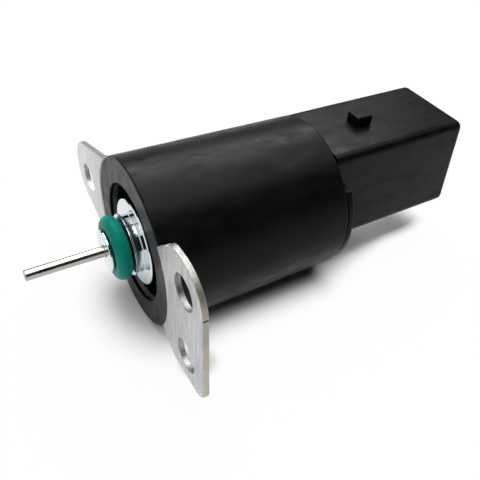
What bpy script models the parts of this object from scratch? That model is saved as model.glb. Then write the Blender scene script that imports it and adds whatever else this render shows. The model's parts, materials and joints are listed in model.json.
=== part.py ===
"""Fuel shutoff solenoid for a small diesel engine.

Metres, +Z up. The solenoid's axis is the X axis: the stop pin points to -X and the socket for
the plug opens to +X. The origin is on the axis, in the mounting plane: the front of the ears.
The plunger is drawn with no current on it, so the spring has pushed the pin fully out.

The sizes are two chains. The radii build outward from the pin and the armature to the body,
and the places along X build rearward from the flange to the socket's mouth.
"""
import math

import bmesh
import bpy
from mathutils import Vector

GAP = 0.0003              # clearance between pieces that touch or nearly touch
EDGE = 0.0005             # small broken edge on moulded and turned pieces

# radii, from the plunger out
PIN_R = 0.0012
PIN_GROOVE = 0.0003
BUSH_WALL = 0.0009
CLIP_W = 0.0017
SPRING_WIRE_R = 0.00045
SPRING_MEAN_R = 0.0041
SPRING_SLACK = 0.00045
ARMATURE_R = 0.0080
TUBE_WALL = 0.0010
BOBBIN_WALL = 0.0010
COIL_BUILD = 0.0035
TAPE_T = 0.0006
BOBBIN_RIM = 0.0001       # bobbin flange past the tape
YOKE_WALL = 0.0010
BODY_WALL = 0.0017
BODY_DRAFT = 0.0007       # the moulding is wider at its front
CORE_RIVET_R = 0.0040
STOP_WASHER_BORE_R = 0.0030

TUBE_IN = ARMATURE_R + GAP
TUBE_OUT = TUBE_IN + TUBE_WALL
BOBBIN_IN = TUBE_OUT + GAP
BOBBIN_OUT = BOBBIN_IN + BOBBIN_WALL
COIL_IN = BOBBIN_OUT + GAP
COIL_OUT = COIL_IN + COIL_BUILD
TAPE_IN = COIL_OUT + GAP
TAPE_OUT = TAPE_IN + TAPE_T
BOBBIN_FLANGE_R = TAPE_OUT + BOBBIN_RIM
YOKE_IN = BOBBIN_FLANGE_R + GAP
YOKE_OUT = YOKE_IN + YOKE_WALL
BODY_BORE = YOKE_OUT + 2 * GAP
BODY_R = BODY_BORE + BODY_WALL
FACE_R = BODY_R + BODY_DRAFT
SPRING_BORE_R = SPRING_MEAN_R + SPRING_WIRE_R + SPRING_SLACK

# nose radii, from the bush out
BUSH_SEAT_R = PIN_R + GAP + BUSH_WALL + GAP
NOSE_WALL = 0.0008        # between the bush and the O-ring groove
NOSE_LIP_H = 0.0013
RING_WIRE_R = 0.0018
BOSS_H = 0.0032
GROOVE_LIP_H = 0.0004     # thin lip behind the O-ring, proud of the boss
DISK_STEP = 0.0034
RECESS_W = 0.0036         # black ring-shaped recess around the disk
RECESS_LIP = 0.0006       # the moulding lines the recess

GROOVE_FLOOR_R = BUSH_SEAT_R + NOSE_WALL
RING_MEAN_R = GROOVE_FLOOR_R + GAP + RING_WIRE_R
BOSS_R = GROOVE_FLOOR_R + BOSS_H
DISK_R = BOSS_R + DISK_STEP
RECESS_R = DISK_R + RECESS_W

# flange: sheet whose ears are stepped forward, past the body's front
PLATE_T = 0.0014
BOLT_R = 0.0292           # bolt circle radius
BOLT_HOLE_R = 0.0038
NEAR_HOLE_ANGLE = math.radians(17.6)   # the wide ear's two holes, either side of -Y
FLANGE_TURN = math.radians(-3.4)       # the flange sits slightly turned on the body
FAR_EAR_TURN = math.radians(1.5)       # the round ear isn't quite centred on its hole
FAR_RIM = 0.0049          # metal outside each hole
SIDE_RIM = 0.0040
TOP_RIM = 0.0038
BOTTOM_RIM = 0.0028
TOP_CORNER = 0.0086
BOTTOM_CORNER = 0.0030
SHOULDER_CORNER = 0.0035
NECK_LEAN = math.radians(39.5)         # slope of the wide ear's sides by the body
NECK_SET = 0.0018         # those sides, drawn on, pass the axis at this distance
FLANK_R = 0.0176          # the round ear's sides would touch a circle this size
FLANK_ANGLE = math.radians(44.5)       # and end here, in the body's wall
STEP_SET = 0.00015        # the ears step forward just outside the body's rear radius
STEP_RUN = 0.0005
NICK = 0.0004             # small parting marks on the wide ear's edge

# along X: nose, ahead of the flange
FACE_SET = 0.0003         # the body's ring face stands behind the mounting plane
SKIN_T = 0.0007           # and lies over the flange
DISK_SET = 0.0003         # the nose's disk stands behind the ring face
BOSS_L = 0.0020
LIP_T = 0.0004
NOSE_LIP_T = 0.0005
NOSE_CAP_T = 0.0007       # closes the nose in front of the bush
PIN_REACH = 0.0172        # free length of the pin
PIN_CHAMFER = 0.0003

STEP = FACE_SET + SKIN_T + GAP
PLATE_BACK = STEP + PLATE_T
DISK_X = FACE_SET + DISK_SET
GROOVE_BACK = DISK_X - BOSS_L
RING_X = GROOVE_BACK - GAP - RING_WIRE_R
GROOVE_FRONT = RING_X - RING_WIRE_R - GAP
NOSE_FRONT = GROOVE_FRONT - NOSE_LIP_T
PIN_TIP = NOSE_FRONT - PIN_REACH

# along X: magnet, behind the flange
POTTING_T = 0.0007
POLE_RING_T = 0.0025
NOSE_ENTRY = 0.0009       # the nose ends this far inside the bobbin
STOP_WASHER_T = 0.0006
ARMATURE_L = 0.0170
SPRING_BORE_L = 0.0080
CLIP_T = 0.0006
PIN_TAIL = 0.0005
STROKE = 0.0060
SHIM_T = 0.0004
CORE_L = 0.0111
CORE_BORE_L = 0.0060
BOBBIN_FLANGE_T = 0.0015
END_PLATE_T = 0.0023
SPRING_TURNS = 8

POLE_RING_X = PLATE_BACK + GAP
BOBBIN_X0 = POLE_RING_X + POLE_RING_T + GAP
NOSE_END = BOBBIN_X0 + NOSE_ENTRY
ARMATURE_X = NOSE_END + GAP + STOP_WASHER_T + GAP
ARMATURE_END = ARMATURE_X + ARMATURE_L
SPRING_SEAT = ARMATURE_END - SPRING_BORE_L
CLIP_X = SPRING_SEAT + GAP
SHIM_X = ARMATURE_END + STROKE + GAP
CORE_X = SHIM_X + SHIM_T + GAP
BOBBIN_X1 = CORE_X + CORE_L
COIL_X0 = BOBBIN_X0 + BOBBIN_FLANGE_T + GAP
COIL_X1 = BOBBIN_X1 - BOBBIN_FLANGE_T - GAP
END_PLATE_X = BOBBIN_X1 + GAP
CORE_END = END_PLATE_X + END_PLATE_T
BODY_END = CORE_END + GAP

# coil leads
WIRE_R = 0.0006
WIRE_BEND_R = 0.0016
WIRE_DROP = 0.0017        # behind the body's rear face
WIRE_Z = (COIL_IN + COIL_OUT) / 2

# connector
COLLAR_T = 0.0016
COLLAR_TOP = 0.0100       # the collar stops at a ledge either side of the box
BOX_L = 0.0407
BOX_HALF_W = 0.0112
BOX_DRAFT = 0.0002        # narrower at the mouth
BOX_ROOF = 0.00245        # above the pocket for the leads
BOX_BOTTOM = 0.0099
BOX_LEAN = 0.09           # the mouth leans: its top edge is set back
TOP_EDGE_R = 0.0016
BOTTOM_EDGE_R = 0.0027
MOUTH_WALL = 0.0022
MOUTH_ROUND = 0.0016
SOCKET_DEPTH = 0.0200
SOCKET_DRAFT = 0.0002
BLADE_Y = 0.0045          # blades either side of the middle
BLADE_W = 0.0063
BLADE_T = 0.0008
BLADE_POINT = 0.0018
BLADE_REACH = 0.0140      # blade length in the socket
BLADE_TAIL = 0.0022       # blade length in the pocket
POCKET_L = 0.0031
POCKET_SIDE = 0.0017
LATCH_SET = 0.0119
LATCH_L = 0.0045
LATCH_HALF_W = 0.0020
LATCH_H = 0.0028
LATCH_TIP_H = 0.0019

BOX_X = BODY_END + GAP
BOX_END = BOX_X + BOX_L
SOCKET_FLOOR = BOX_END - SOCKET_DEPTH
POCKET_TOP = WIRE_Z + WIRE_R + 2 * GAP
BOX_TOP = POCKET_TOP + BOX_ROOF
BLADE_Z = (BOX_TOP - BOX_BOTTOM) / 2
BLADE_SIDES = (("a", -BLADE_Y), ("b", BLADE_Y))

BODY_SEGMENTS = 48
NOSE_SEGMENTS = 40
INNER_SEGMENTS = 24
OVERCUT = 0.001           # cutters run past what they cut


def clear_scene():
    for obj in list(bpy.data.objects):
        bpy.data.objects.remove(obj, do_unlink=True)


def make_material(name, colour, metallic, roughness):
    mat = bpy.data.materials.new(name)
    mat.use_nodes = True
    shader = mat.node_tree.nodes["Principled BSDF"]
    shader.inputs["Base Color"].default_value = (*colour, 1.0)
    shader.inputs["Metallic"].default_value = metallic
    shader.inputs["Roughness"].default_value = roughness
    return mat


def add_object(name, bm, mat, parent=None):
    bmesh.ops.recalc_face_normals(bm, faces=bm.faces)
    mesh = bpy.data.meshes.new(name)
    bm.to_mesh(mesh)
    bm.free()
    obj = bpy.data.objects.new(name, mesh)
    bpy.context.collection.objects.link(obj)
    if mat is not None:
        mesh.materials.append(mat)
    mesh.shade_smooth()
    mesh.set_sharp_from_angle(angle=math.radians(35))
    if parent is not None:
        obj.parent = parent
    return obj


def combine(target, tool, operation="DIFFERENCE"):
    """Cuts the tool from the target, or joins it on with UNION."""
    tool.hide_render = True
    tool.display_type = "WIRE"
    mod = target.modifiers.new(tool.name, "BOOLEAN")
    mod.operation = operation
    mod.solver = "EXACT"
    mod.object = tool


def skin_rings(bm, rings, closed=False):
    """Quads between rings of vertices; a ring of one vertex is a point on the axis."""
    pairs = list(zip(rings, rings[1:]))
    if closed:
        pairs.append((rings[-1], rings[0]))
    for a, b in pairs:
        count = max(len(a), len(b))
        if count == 1:
            continue
        for i in range(count):
            j = (i + 1) % count
            corners = [a[i % len(a)], a[j % len(a)], b[j % len(b)], b[i % len(b)]]
            bm.faces.new(list(dict.fromkeys(corners)))


def capped(name, point_rings, mat):
    """A body through rings of points, closed by a flat face at each end."""
    bm = bmesh.new()
    rings = [[bm.verts.new(p) for p in ring] for ring in point_rings]
    skin_rings(bm, rings)
    bm.faces.new(rings[0])
    bm.faces.new(rings[-1])
    return add_object(name, bm, mat)


def turned(name, profile, mat, segments=INNER_SEGMENTS, parent=None):
    """Revolves a closed profile of (x, r) points about the X axis."""
    bm = bmesh.new()
    rings = []
    for x, r in profile:
        count = segments if r > 0.0 else 1
        ring = []
        for i in range(count):
            a = 2 * math.pi * i / count
            ring.append(bm.verts.new((x, r * math.cos(a), r * math.sin(a))))
        rings.append(ring)
    skin_rings(bm, rings, closed=True)
    return add_object(name, bm, mat, parent)


def tube(x0, x1, r_in, r_out):
    return [(x0, r_in), (x0, r_out), (x1, r_out), (x1, r_in)]


def prism(name, outline, x0, x1, mat=None):
    """Extrudes a closed outline of (y, z) points along X."""
    return capped(name, [[(x, y, z) for y, z in outline] for x in (x0, x1)], mat)


def arc(cy, cz, radius, a0, a1, count):
    """Points on an arc in the YZ plane, ends included; angles run from +Y to +Z."""
    step = (a1 - a0) / (count - 1)
    return [(cy + radius * math.cos(a0 + i * step), cz + radius * math.sin(a0 + i * step))
            for i in range(count)]


def rectangle(y0, y1, z0, z1):
    return [(y0, z0), (y1, z0), (y1, z1), (y0, z1)]


def rod_cutter(name, x0, x1, y, z, radius, segments=INNER_SEGMENTS):
    last = 2 * math.pi * (segments - 1) / segments
    return prism(name, arc(y, z, radius, 0.0, last, segments), x0 - OVERCUT, x1 + OVERCUT)


def nicked(y0, z0, y1, z1, at, size):
    """Three points of a small V cut into the edge that runs from point 0 to point 1."""
    length = math.hypot(y1 - y0, z1 - z0)
    uy = (y1 - y0) / length
    uz = (z1 - z0) / length
    cy = y0 + (y1 - y0) * at
    cz = z0 + (z1 - z0) * at
    return [(cy - uy * size, cz - uz * size), (cy - uz * size, cz + uy * size),
            (cy + uy * size, cz + uz * size)]


def flange_outline(grow=0.0, marks=True):
    """A disc inside the body, a round ear toward +Y and a wide two-hole ear toward -Y."""
    disc = YOKE_OUT + grow
    far = BOLT_HOLE_R + FAR_RIM + grow
    flank_r = FLANK_R + grow
    hole_y = BOLT_R * math.cos(NEAR_HOLE_ANGLE)
    hole_z = BOLT_R * math.sin(NEAR_HOLE_ANGLE)
    side = -hole_y - BOLT_HOLE_R - SIDE_RIM - grow
    top = hole_z + BOLT_HOLE_R + TOP_RIM + grow
    bottom = -hole_z - BOLT_HOLE_R - BOTTOM_RIM - grow
    quarter = math.pi / 2
    ear = FAR_EAR_TURN
    tangent = math.acos((flank_r - far) / BOLT_R)
    flank = FLANK_ANGLE + grow / disc
    flank_end = flank_r / math.cos(tangent - flank)

    cos_lean = math.cos(NECK_LEAN)
    sin_lean = math.sin(NECK_LEAN)
    set_off = grow - NECK_SET
    run = math.sqrt(disc ** 2 - set_off ** 2)
    neck_y = set_off * sin_lean - run * cos_lean
    neck_z = set_off * cos_lean + run * sin_lean
    neck = math.atan2(neck_z, neck_y)
    r = SHOULDER_CORNER

    def shoulder(height):
        """Where the corner between the neck's side and an edge at this height has its centre."""
        rise = height - r + r * cos_lean - neck_z
        return neck_y - rise * cos_lean / sin_lean - r * sin_lean

    far_y = BOLT_R * math.cos(ear)
    far_z = BOLT_R * math.sin(ear)
    disc_top = arc(0.0, 0.0, disc, ear + flank, neck, 9)
    disc_low = arc(0.0, 0.0, disc, -neck, ear - flank, 9)
    top_shoulder = arc(shoulder(top), top - r, r, quarter - NECK_LEAN, quarter, 5)
    low_shoulder = arc(shoulder(-bottom), bottom + r, r, -quarter, NECK_LEAN - quarter, 5)
    r = TOP_CORNER
    top_corner = arc(side + r, top - r, r, quarter, 2 * quarter, 10)
    r = BOTTOM_CORNER
    bottom_corner = arc(side + r, bottom + r, r, 2 * quarter, 3 * quarter, 6)

    pts = arc(far_y, far_z, far, ear - tangent, ear + tangent, 17)
    pts.append((flank_end * math.cos(ear + flank), flank_end * math.sin(ear + flank)))
    pts += disc_top
    if marks:
        pts += nicked(*disc_top[-1], *top_shoulder[0], 0.88, 2 * NICK)
    pts += top_shoulder + top_corner
    if marks:
        pts += nicked(*top_corner[-1], *bottom_corner[0], 0.17, NICK)
    pts += bottom_corner + low_shoulder + disc_low
    pts.append((flank_end * math.cos(ear - flank), flank_end * math.sin(ear - flank)))
    c = math.cos(FLANGE_TURN)
    s = math.sin(FLANGE_TURN)
    return [(y * c - z * s, y * s + z * c) for y, z in pts]


def flange_blank(name, grow=0.0, marks=True, mat=None):
    """The sheet as a turned shape with its step, trimmed to the flange's outline."""
    step_r = BODY_R + STEP_SET
    bend = math.tan(math.atan2(STEP, STEP_RUN) / 2)
    rim = 2 * BOLT_R
    front = step_r - grow * bend
    back = step_r + (PLATE_T + grow) * bend
    blank = turned(name, [
        (STEP - grow, 0.0), (STEP - grow, front), (-grow, front + STEP_RUN), (-grow, rim),
        (PLATE_T + grow, rim), (PLATE_T + grow, back + STEP_RUN), (PLATE_BACK + grow, back),
        (PLATE_BACK + grow, 0.0),
    ], mat, BODY_SEGMENTS)
    trim = prism(f"trim_{name}", flange_outline(grow, marks), -grow - OVERCUT,
                 PLATE_BACK + grow + OVERCUT)
    combine(blank, trim, "INTERSECT")
    return blank


def build_flange(mat):
    plate = flange_blank("flange_plate", mat=mat)
    bore_r = RECESS_R + RECESS_LIP + GAP
    combine(plate, rod_cutter("cut_plate_bore", STEP, PLATE_BACK, 0.0, 0.0, bore_r,
                              NOSE_SEGMENTS))
    for i, angle in enumerate((0.0, math.pi - NEAR_HOLE_ANGLE, math.pi + NEAR_HOLE_ANGLE)):
        y = BOLT_R * math.cos(angle + FLANGE_TURN)
        z = BOLT_R * math.sin(angle + FLANGE_TURN)
        combine(plate, rod_cutter(f"cut_bolt_{i + 1}", 0.0, PLATE_T, y, z, BOLT_HOLE_R))


def build_body(mat):
    """Moulded cup: a thin ring face over the flange, a lip in its bore and a plain bore behind."""
    lip_r = RECESS_R + RECESS_LIP
    profile = [
        (FACE_SET, RECESS_R), (FACE_SET, FACE_R - EDGE), (FACE_SET + EDGE, FACE_R),
        (BODY_END - EDGE, BODY_R), (BODY_END, BODY_R - EDGE), (BODY_END, BODY_BORE),
        (STEP - GAP, BODY_BORE), (STEP - GAP, lip_r), (PLATE_BACK, lip_r), (PLATE_BACK, RECESS_R),
    ]
    body = turned("body_housing", profile, mat, BODY_SEGMENTS)
    combine(body, flange_blank("cut_flange_slot", GAP, False))


def build_nose(mats):
    """Turned front pole: front lip, O-ring groove with a thin rear lip, boss, disk and shank."""
    lip_r = GROOVE_FLOOR_R + NOSE_LIP_H
    groove_lip_r = BOSS_R + GROOVE_LIP_H
    cap_back = NOSE_FRONT + NOSE_CAP_T
    profile = [
        (NOSE_FRONT, PIN_R + GAP), (NOSE_FRONT, lip_r - EDGE / 2), (NOSE_FRONT + EDGE / 2, lip_r),
        (GROOVE_FRONT, lip_r), (GROOVE_FRONT, GROOVE_FLOOR_R), (GROOVE_BACK, GROOVE_FLOOR_R),
        (GROOVE_BACK, groove_lip_r), (GROOVE_BACK + LIP_T, groove_lip_r),
        (GROOVE_BACK + LIP_T, BOSS_R), (DISK_X, BOSS_R),
        (DISK_X, DISK_R - EDGE), (DISK_X + EDGE, DISK_R),
        (PLATE_BACK, DISK_R), (PLATE_BACK, ARMATURE_R), (NOSE_END, ARMATURE_R),
        (NOSE_END, BUSH_SEAT_R), (cap_back, BUSH_SEAT_R), (cap_back, PIN_R + GAP),
    ]
    turned("pole_nose", profile, mats["zinc"], NOSE_SEGMENTS)
    bush = tube(cap_back + GAP, NOSE_END - GAP, PIN_R + GAP, BUSH_SEAT_R - GAP)
    turned("guide_bush", bush, mats["bronze"], 20)
    section = []
    for i in range(12):
        a = 2 * math.pi * i / 12
        section.append((RING_X - RING_WIRE_R * math.cos(a), RING_MEAN_R + RING_WIRE_R * math.sin(a)))
    turned("o_ring", section, mats["green"], NOSE_SEGMENTS)
    potting = tube(PLATE_BACK - POTTING_T, PLATE_BACK, DISK_R + GAP, RECESS_R - GAP)
    turned("front_potting", potting, mats["potting"], NOSE_SEGMENTS)


def build_plunger(mats):
    """Pin, armature and clip slide together along X."""
    slide = bpy.data.objects.new("plunger_slide", None)
    bpy.context.collection.objects.link(slide)
    neck_r = PIN_R - PIN_GROOVE
    groove_x0 = CLIP_X - GAP / 2
    groove_x1 = CLIP_X + CLIP_T + GAP / 2
    pin = [
        (PIN_TIP, 0.0), (PIN_TIP, PIN_R - PIN_CHAMFER), (PIN_TIP + PIN_CHAMFER, PIN_R),
        (groove_x0, PIN_R), (groove_x0, neck_r), (groove_x1, neck_r), (groove_x1, PIN_R),
        (groove_x1 + PIN_TAIL, PIN_R), (groove_x1 + PIN_TAIL, 0.0),
    ]
    turned("stop_pin", pin, mats["stainless"], 20, slide)
    armature = [
        (ARMATURE_X, PIN_R + GAP), (ARMATURE_X, ARMATURE_R - EDGE), (ARMATURE_X + EDGE, ARMATURE_R),
        (ARMATURE_END - EDGE, ARMATURE_R), (ARMATURE_END, ARMATURE_R - EDGE),
        (ARMATURE_END, SPRING_BORE_R), (SPRING_SEAT, SPRING_BORE_R), (SPRING_SEAT, PIN_R + GAP),
    ]
    turned("armature", armature, mats["steel"], INNER_SEGMENTS, slide)
    clip_r = PIN_R + CLIP_W
    clip = turned("pin_clip", tube(CLIP_X, CLIP_X + CLIP_T, PIN_R, clip_r), mats["stainless"], 20,
                  slide)
    half = PIN_R + GAP
    mouth = rectangle(-half, half, -half, clip_r + OVERCUT)
    combine(clip, prism("cut_clip_mouth", mouth, CLIP_X - OVERCUT, CLIP_X + CLIP_T + OVERCUT))


def build_spring(mat):
    """Helix with closed end turns, from the armature's bore to the floor of the core's bore."""
    x0 = SPRING_SEAT + GAP + SPRING_WIRE_R
    x1 = CORE_X + CORE_BORE_L - GAP - SPRING_WIRE_R
    per_turn = 14
    sides = 6
    end_rise = 2 * SPRING_WIRE_R + GAP
    rings = []
    for i in range(SPRING_TURNS * per_turn + 1):
        t = i / per_turn
        if t <= 1.0:
            x = x0 + end_rise * t
        elif t >= SPRING_TURNS - 1.0:
            x = x1 - end_rise * (SPRING_TURNS - t)
        else:
            x = x0 + end_rise + (x1 - x0 - 2 * end_rise) * (t - 1.0) / (SPRING_TURNS - 2.0)
        a = 2 * math.pi * t
        ring = []
        for k in range(sides):
            b = 2 * math.pi * k / sides
            r = SPRING_MEAN_R + SPRING_WIRE_R * math.cos(b)
            ring.append((x + SPRING_WIRE_R * math.sin(b), r * math.cos(a), r * math.sin(a)))
        rings.append(ring)
    capped("return_spring", rings, mat)


def build_core(mats):
    """Fixed core with its spring bore and rivet, the shim on it and the washer at the nose."""
    washer = tube(NOSE_END + GAP, NOSE_END + GAP + STOP_WASHER_T, STOP_WASHER_BORE_R,
                  ARMATURE_R - GAP)
    turned("stop_washer", washer, mats["rubber"])
    turned("core_shim", tube(SHIM_X, SHIM_X + SHIM_T, SPRING_BORE_R, ARMATURE_R - GAP),
           mats["brass"])
    bore_end = CORE_X + CORE_BORE_L
    core = [
        (CORE_X, SPRING_BORE_R), (CORE_X, ARMATURE_R), (BOBBIN_X1, ARMATURE_R),
        (BOBBIN_X1, CORE_RIVET_R), (CORE_END, CORE_RIVET_R), (CORE_END, 0.0),
        (bore_end, 0.0), (bore_end, SPRING_BORE_R),
    ]
    turned("fixed_core", core, mats["steel"])


def build_coil(mats):
    """Guide tube, bobbin, winding and tape, in the steel ring, yoke tube and end plate."""
    ring = tube(POLE_RING_X, POLE_RING_X + POLE_RING_T, ARMATURE_R + GAP, YOKE_OUT)
    turned("front_pole_ring", ring, mats["steel"])
    turned("yoke_tube", tube(BOBBIN_X0, BOBBIN_X1, YOKE_IN, YOKE_OUT), mats["steel"], 32)
    turned("guide_tube", tube(NOSE_END + GAP, BOBBIN_X1, TUBE_IN, TUBE_OUT), mats["brass"])
    flange_x0 = BOBBIN_X0 + BOBBIN_FLANGE_T
    flange_x1 = BOBBIN_X1 - BOBBIN_FLANGE_T
    spool = [
        (BOBBIN_X0, BOBBIN_IN), (BOBBIN_X0, BOBBIN_FLANGE_R), (flange_x0, BOBBIN_FLANGE_R),
        (flange_x0, BOBBIN_OUT), (flange_x1, BOBBIN_OUT), (flange_x1, BOBBIN_FLANGE_R),
        (BOBBIN_X1, BOBBIN_FLANGE_R), (BOBBIN_X1, BOBBIN_IN),
    ]
    bobbin = turned("coil_bobbin", spool, mats["nylon"])
    turned("coil_winding", tube(COIL_X0, COIL_X1, COIL_IN, COIL_OUT), mats["copper"], 32)
    turned("coil_tape", tube(COIL_X0, COIL_X1, TAPE_IN, TAPE_OUT), mats["tape"], 32)
    end = tube(END_PLATE_X, CORE_END, CORE_RIVET_R + GAP, YOKE_OUT)
    plate = turned("rear_end_plate", end, mats["steel"])
    for side, y in BLADE_SIDES:
        for part, x0, x1 in ((bobbin, flange_x1, BOBBIN_X1), (plate, END_PLATE_X, CORE_END)):
            combine(part, rod_cutter(f"cut_lead_{side}_{part.name}", x0, x1, y, WIRE_Z,
                                     WIRE_R + GAP, 10))


def box_outline(inset):
    """Rounded section of the box; the inset moves every side in and shrinks the corner radii."""
    sharpest = 0.0004
    top_r = max(TOP_EDGE_R - inset, sharpest)
    low_r = max(BOTTOM_EDGE_R - inset, sharpest)
    w = BOX_HALF_W - inset
    top = BOX_TOP - inset
    low = -BOX_BOTTOM + inset
    quarter = math.pi / 2
    pts = arc(w - top_r, top - top_r, top_r, 0.0, quarter, 5)
    pts += arc(top_r - w, top - top_r, top_r, quarter, 2 * quarter, 5)
    pts += arc(low_r - w, low + low_r, low_r, 2 * quarter, 3 * quarter, 5)
    pts += arc(w - low_r, low + low_r, low_r, 3 * quarter, 4 * quarter, 5)
    return pts


def build_connector(mat):
    """Socket box with a leaning mouth, a collar that closes the body, and a small latch."""
    half_draft = BOX_DRAFT / 2
    turn_in = 0.3 * MOUTH_ROUND           # the rounding's middle point, from each of its sides
    sections = [
        (BOX_X, 0.0, 0.0), (SOCKET_FLOOR, half_draft, 0.0),
        (BOX_END - MOUTH_ROUND, BOX_DRAFT, BOX_LEAN),
        (BOX_END - turn_in, BOX_DRAFT + turn_in, BOX_LEAN),
        (BOX_END, BOX_DRAFT + MOUTH_ROUND, BOX_LEAN), (BOX_END, MOUTH_WALL, BOX_LEAN),
        (SOCKET_FLOOR, MOUTH_WALL + SOCKET_DRAFT, 0.0),
    ]
    rings = [[(x - lean * (z - BLADE_Z), y, z) for y, z in box_outline(inset)]
             for x, inset, lean in sections]
    box = capped("connector_housing", rings, mat)

    collar_r = BODY_R - GAP
    collar_end = BOX_X + COLLAR_T
    collar = turned("add_collar", [
        (BOX_X, 0.0), (BOX_X, collar_r - EDGE), (BOX_X + EDGE, collar_r),
        (collar_end - EDGE, collar_r), (collar_end, collar_r - EDGE), (collar_end, 0.0),
    ], None, BODY_SEGMENTS)
    above = rectangle(-2 * BODY_R, 2 * BODY_R, COLLAR_TOP, 2 * BODY_R)
    combine(collar, prism("cut_collar_top", above, BOX_X - OVERCUT, collar_end + OVERCUT))
    combine(box, collar, "UNION")
    combine(box, build_latch(), "UNION")

    half = BLADE_Y + BLADE_T / 2 + POCKET_SIDE
    low = BLADE_Z - BLADE_W / 2 - 4 * GAP
    pocket = rectangle(-half, half, low, POCKET_TOP)
    combine(box, prism("cut_lead_pocket", pocket, BOX_X - OVERCUT, BOX_X + POCKET_L))
    for side, y in BLADE_SIDES:
        w = BLADE_T / 2 + GAP
        h = BLADE_W / 2 + GAP
        slot = rectangle(y - w, y + w, BLADE_Z - h, BLADE_Z + h)
        combine(box, prism(f"cut_blade_slot_{side}", slot, BOX_X - 2 * OVERCUT,
                           SOCKET_FLOOR + 2 * OVERCUT))


def build_latch():
    """Small block on the top face, steep toward the body and sloping down toward the mouth."""
    x0 = BOX_X + LATCH_SET
    x1 = x0 + LATCH_L
    base = [(x0, -LATCH_HALF_W, LATCH_H), (x1, -LATCH_HALF_W, LATCH_TIP_H),
            (x1, LATCH_HALF_W, LATCH_TIP_H), (x0, LATCH_HALF_W, LATCH_H)]
    low = [(x, y, BOX_TOP - EDGE) for x, y, h in base]
    high = [(x, y, BOX_TOP + h) for x, y, h in base]
    return capped("add_latch", [low, high], None)


def build_blades(mat):
    """Flat tabs through the box, pointed at the free end."""
    x0 = BOX_X + POCKET_L - BLADE_TAIL
    x1 = SOCKET_FLOOR + BLADE_REACH
    for side, y in BLADE_SIDES:
        rings = []
        for x, w, t in ((x0, BLADE_W, BLADE_T), (x1 - BLADE_POINT, BLADE_W, BLADE_T),
                        (x1, BLADE_W - BLADE_POINT, BLADE_T / 3)):
            outline = rectangle(y - t / 2, y + t / 2, BLADE_Z - w / 2, BLADE_Z + w / 2)
            rings.append([(x, py, pz) for py, pz in outline])
        capped(f"terminal_blade_{side}", rings, mat)


def build_leads(mat):
    """Each coil lead comes out through the end plate and drops to its blade's top edge."""
    drop_x = BODY_END + WIRE_DROP
    centre_x = drop_x - WIRE_BEND_R
    centre_z = WIRE_Z - WIRE_BEND_R
    for side, y in BLADE_SIDES:
        path = [Vector((COIL_X1 + GAP, y, WIRE_Z))]
        for i in range(6):
            a = math.pi / 2 * (1 - i / 5)
            path.append(Vector((centre_x + WIRE_BEND_R * math.cos(a), y,
                                centre_z + WIRE_BEND_R * math.sin(a))))
        path.append(Vector((drop_x, y, BLADE_Z + BLADE_W / 2 + GAP)))
        across = Vector((0.0, 1.0, 0.0))
        rings = []
        for i, p in enumerate(path):
            along = path[min(i + 1, len(path) - 1)] - path[max(i - 1, 0)]
            up = along.normalized().cross(across)
            angles = [2 * math.pi * k / 8 for k in range(8)]
            rings.append([p + WIRE_R * (math.cos(b) * across + math.sin(b) * up) for b in angles])
        capped(f"coil_lead_{side}", rings, mat)


def build():
    clear_scene()
    mats = {
        "black": make_material("black_moulding", (0.018, 0.018, 0.020), 0.0, 0.42),
        "plate": make_material("zinc_plate", (0.62, 0.61, 0.57), 1.0, 0.38),
        "zinc": make_material("bright_zinc", (0.72, 0.74, 0.74), 1.0, 0.18),
        "green": make_material("green_rubber", (0.006, 0.17, 0.12), 0.0, 0.45),
        "stainless": make_material("stainless", (0.55, 0.53, 0.50), 1.0, 0.28),
        "steel": make_material("plain_steel", (0.42, 0.42, 0.43), 1.0, 0.35),
        "brass": make_material("brass", (0.70, 0.52, 0.22), 1.0, 0.30),
        "bronze": make_material("bronze", (0.58, 0.38, 0.20), 1.0, 0.40),
        "copper": make_material("enamelled_copper", (0.62, 0.25, 0.10), 1.0, 0.30),
        "nylon": make_material("natural_nylon", (0.70, 0.67, 0.58), 0.0, 0.50),
        "tape": make_material("coil_tape", (0.75, 0.55, 0.08), 0.0, 0.45),
        "rubber": make_material("black_rubber", (0.02, 0.02, 0.02), 0.0, 0.70),
        "potting": make_material("black_epoxy", (0.008, 0.008, 0.008), 0.0, 0.35),
        "tin": make_material("tinned_brass", (0.68, 0.67, 0.63), 1.0, 0.25),
        "lead": make_material("lead_insulation", (0.45, 0.03, 0.02), 0.0, 0.45),
    }
    build_flange(mats["plate"])
    build_body(mats["black"])
    build_nose(mats)
    build_plunger(mats)
    build_spring(mats["steel"])
    build_core(mats)
    build_coil(mats)
    build_connector(mats["black"])
    build_blades(mats["tin"])
    build_leads(mats["lead"])


build()
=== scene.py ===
import json
import math

import bmesh
import bpy
from mathutils import Matrix, Vector


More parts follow.
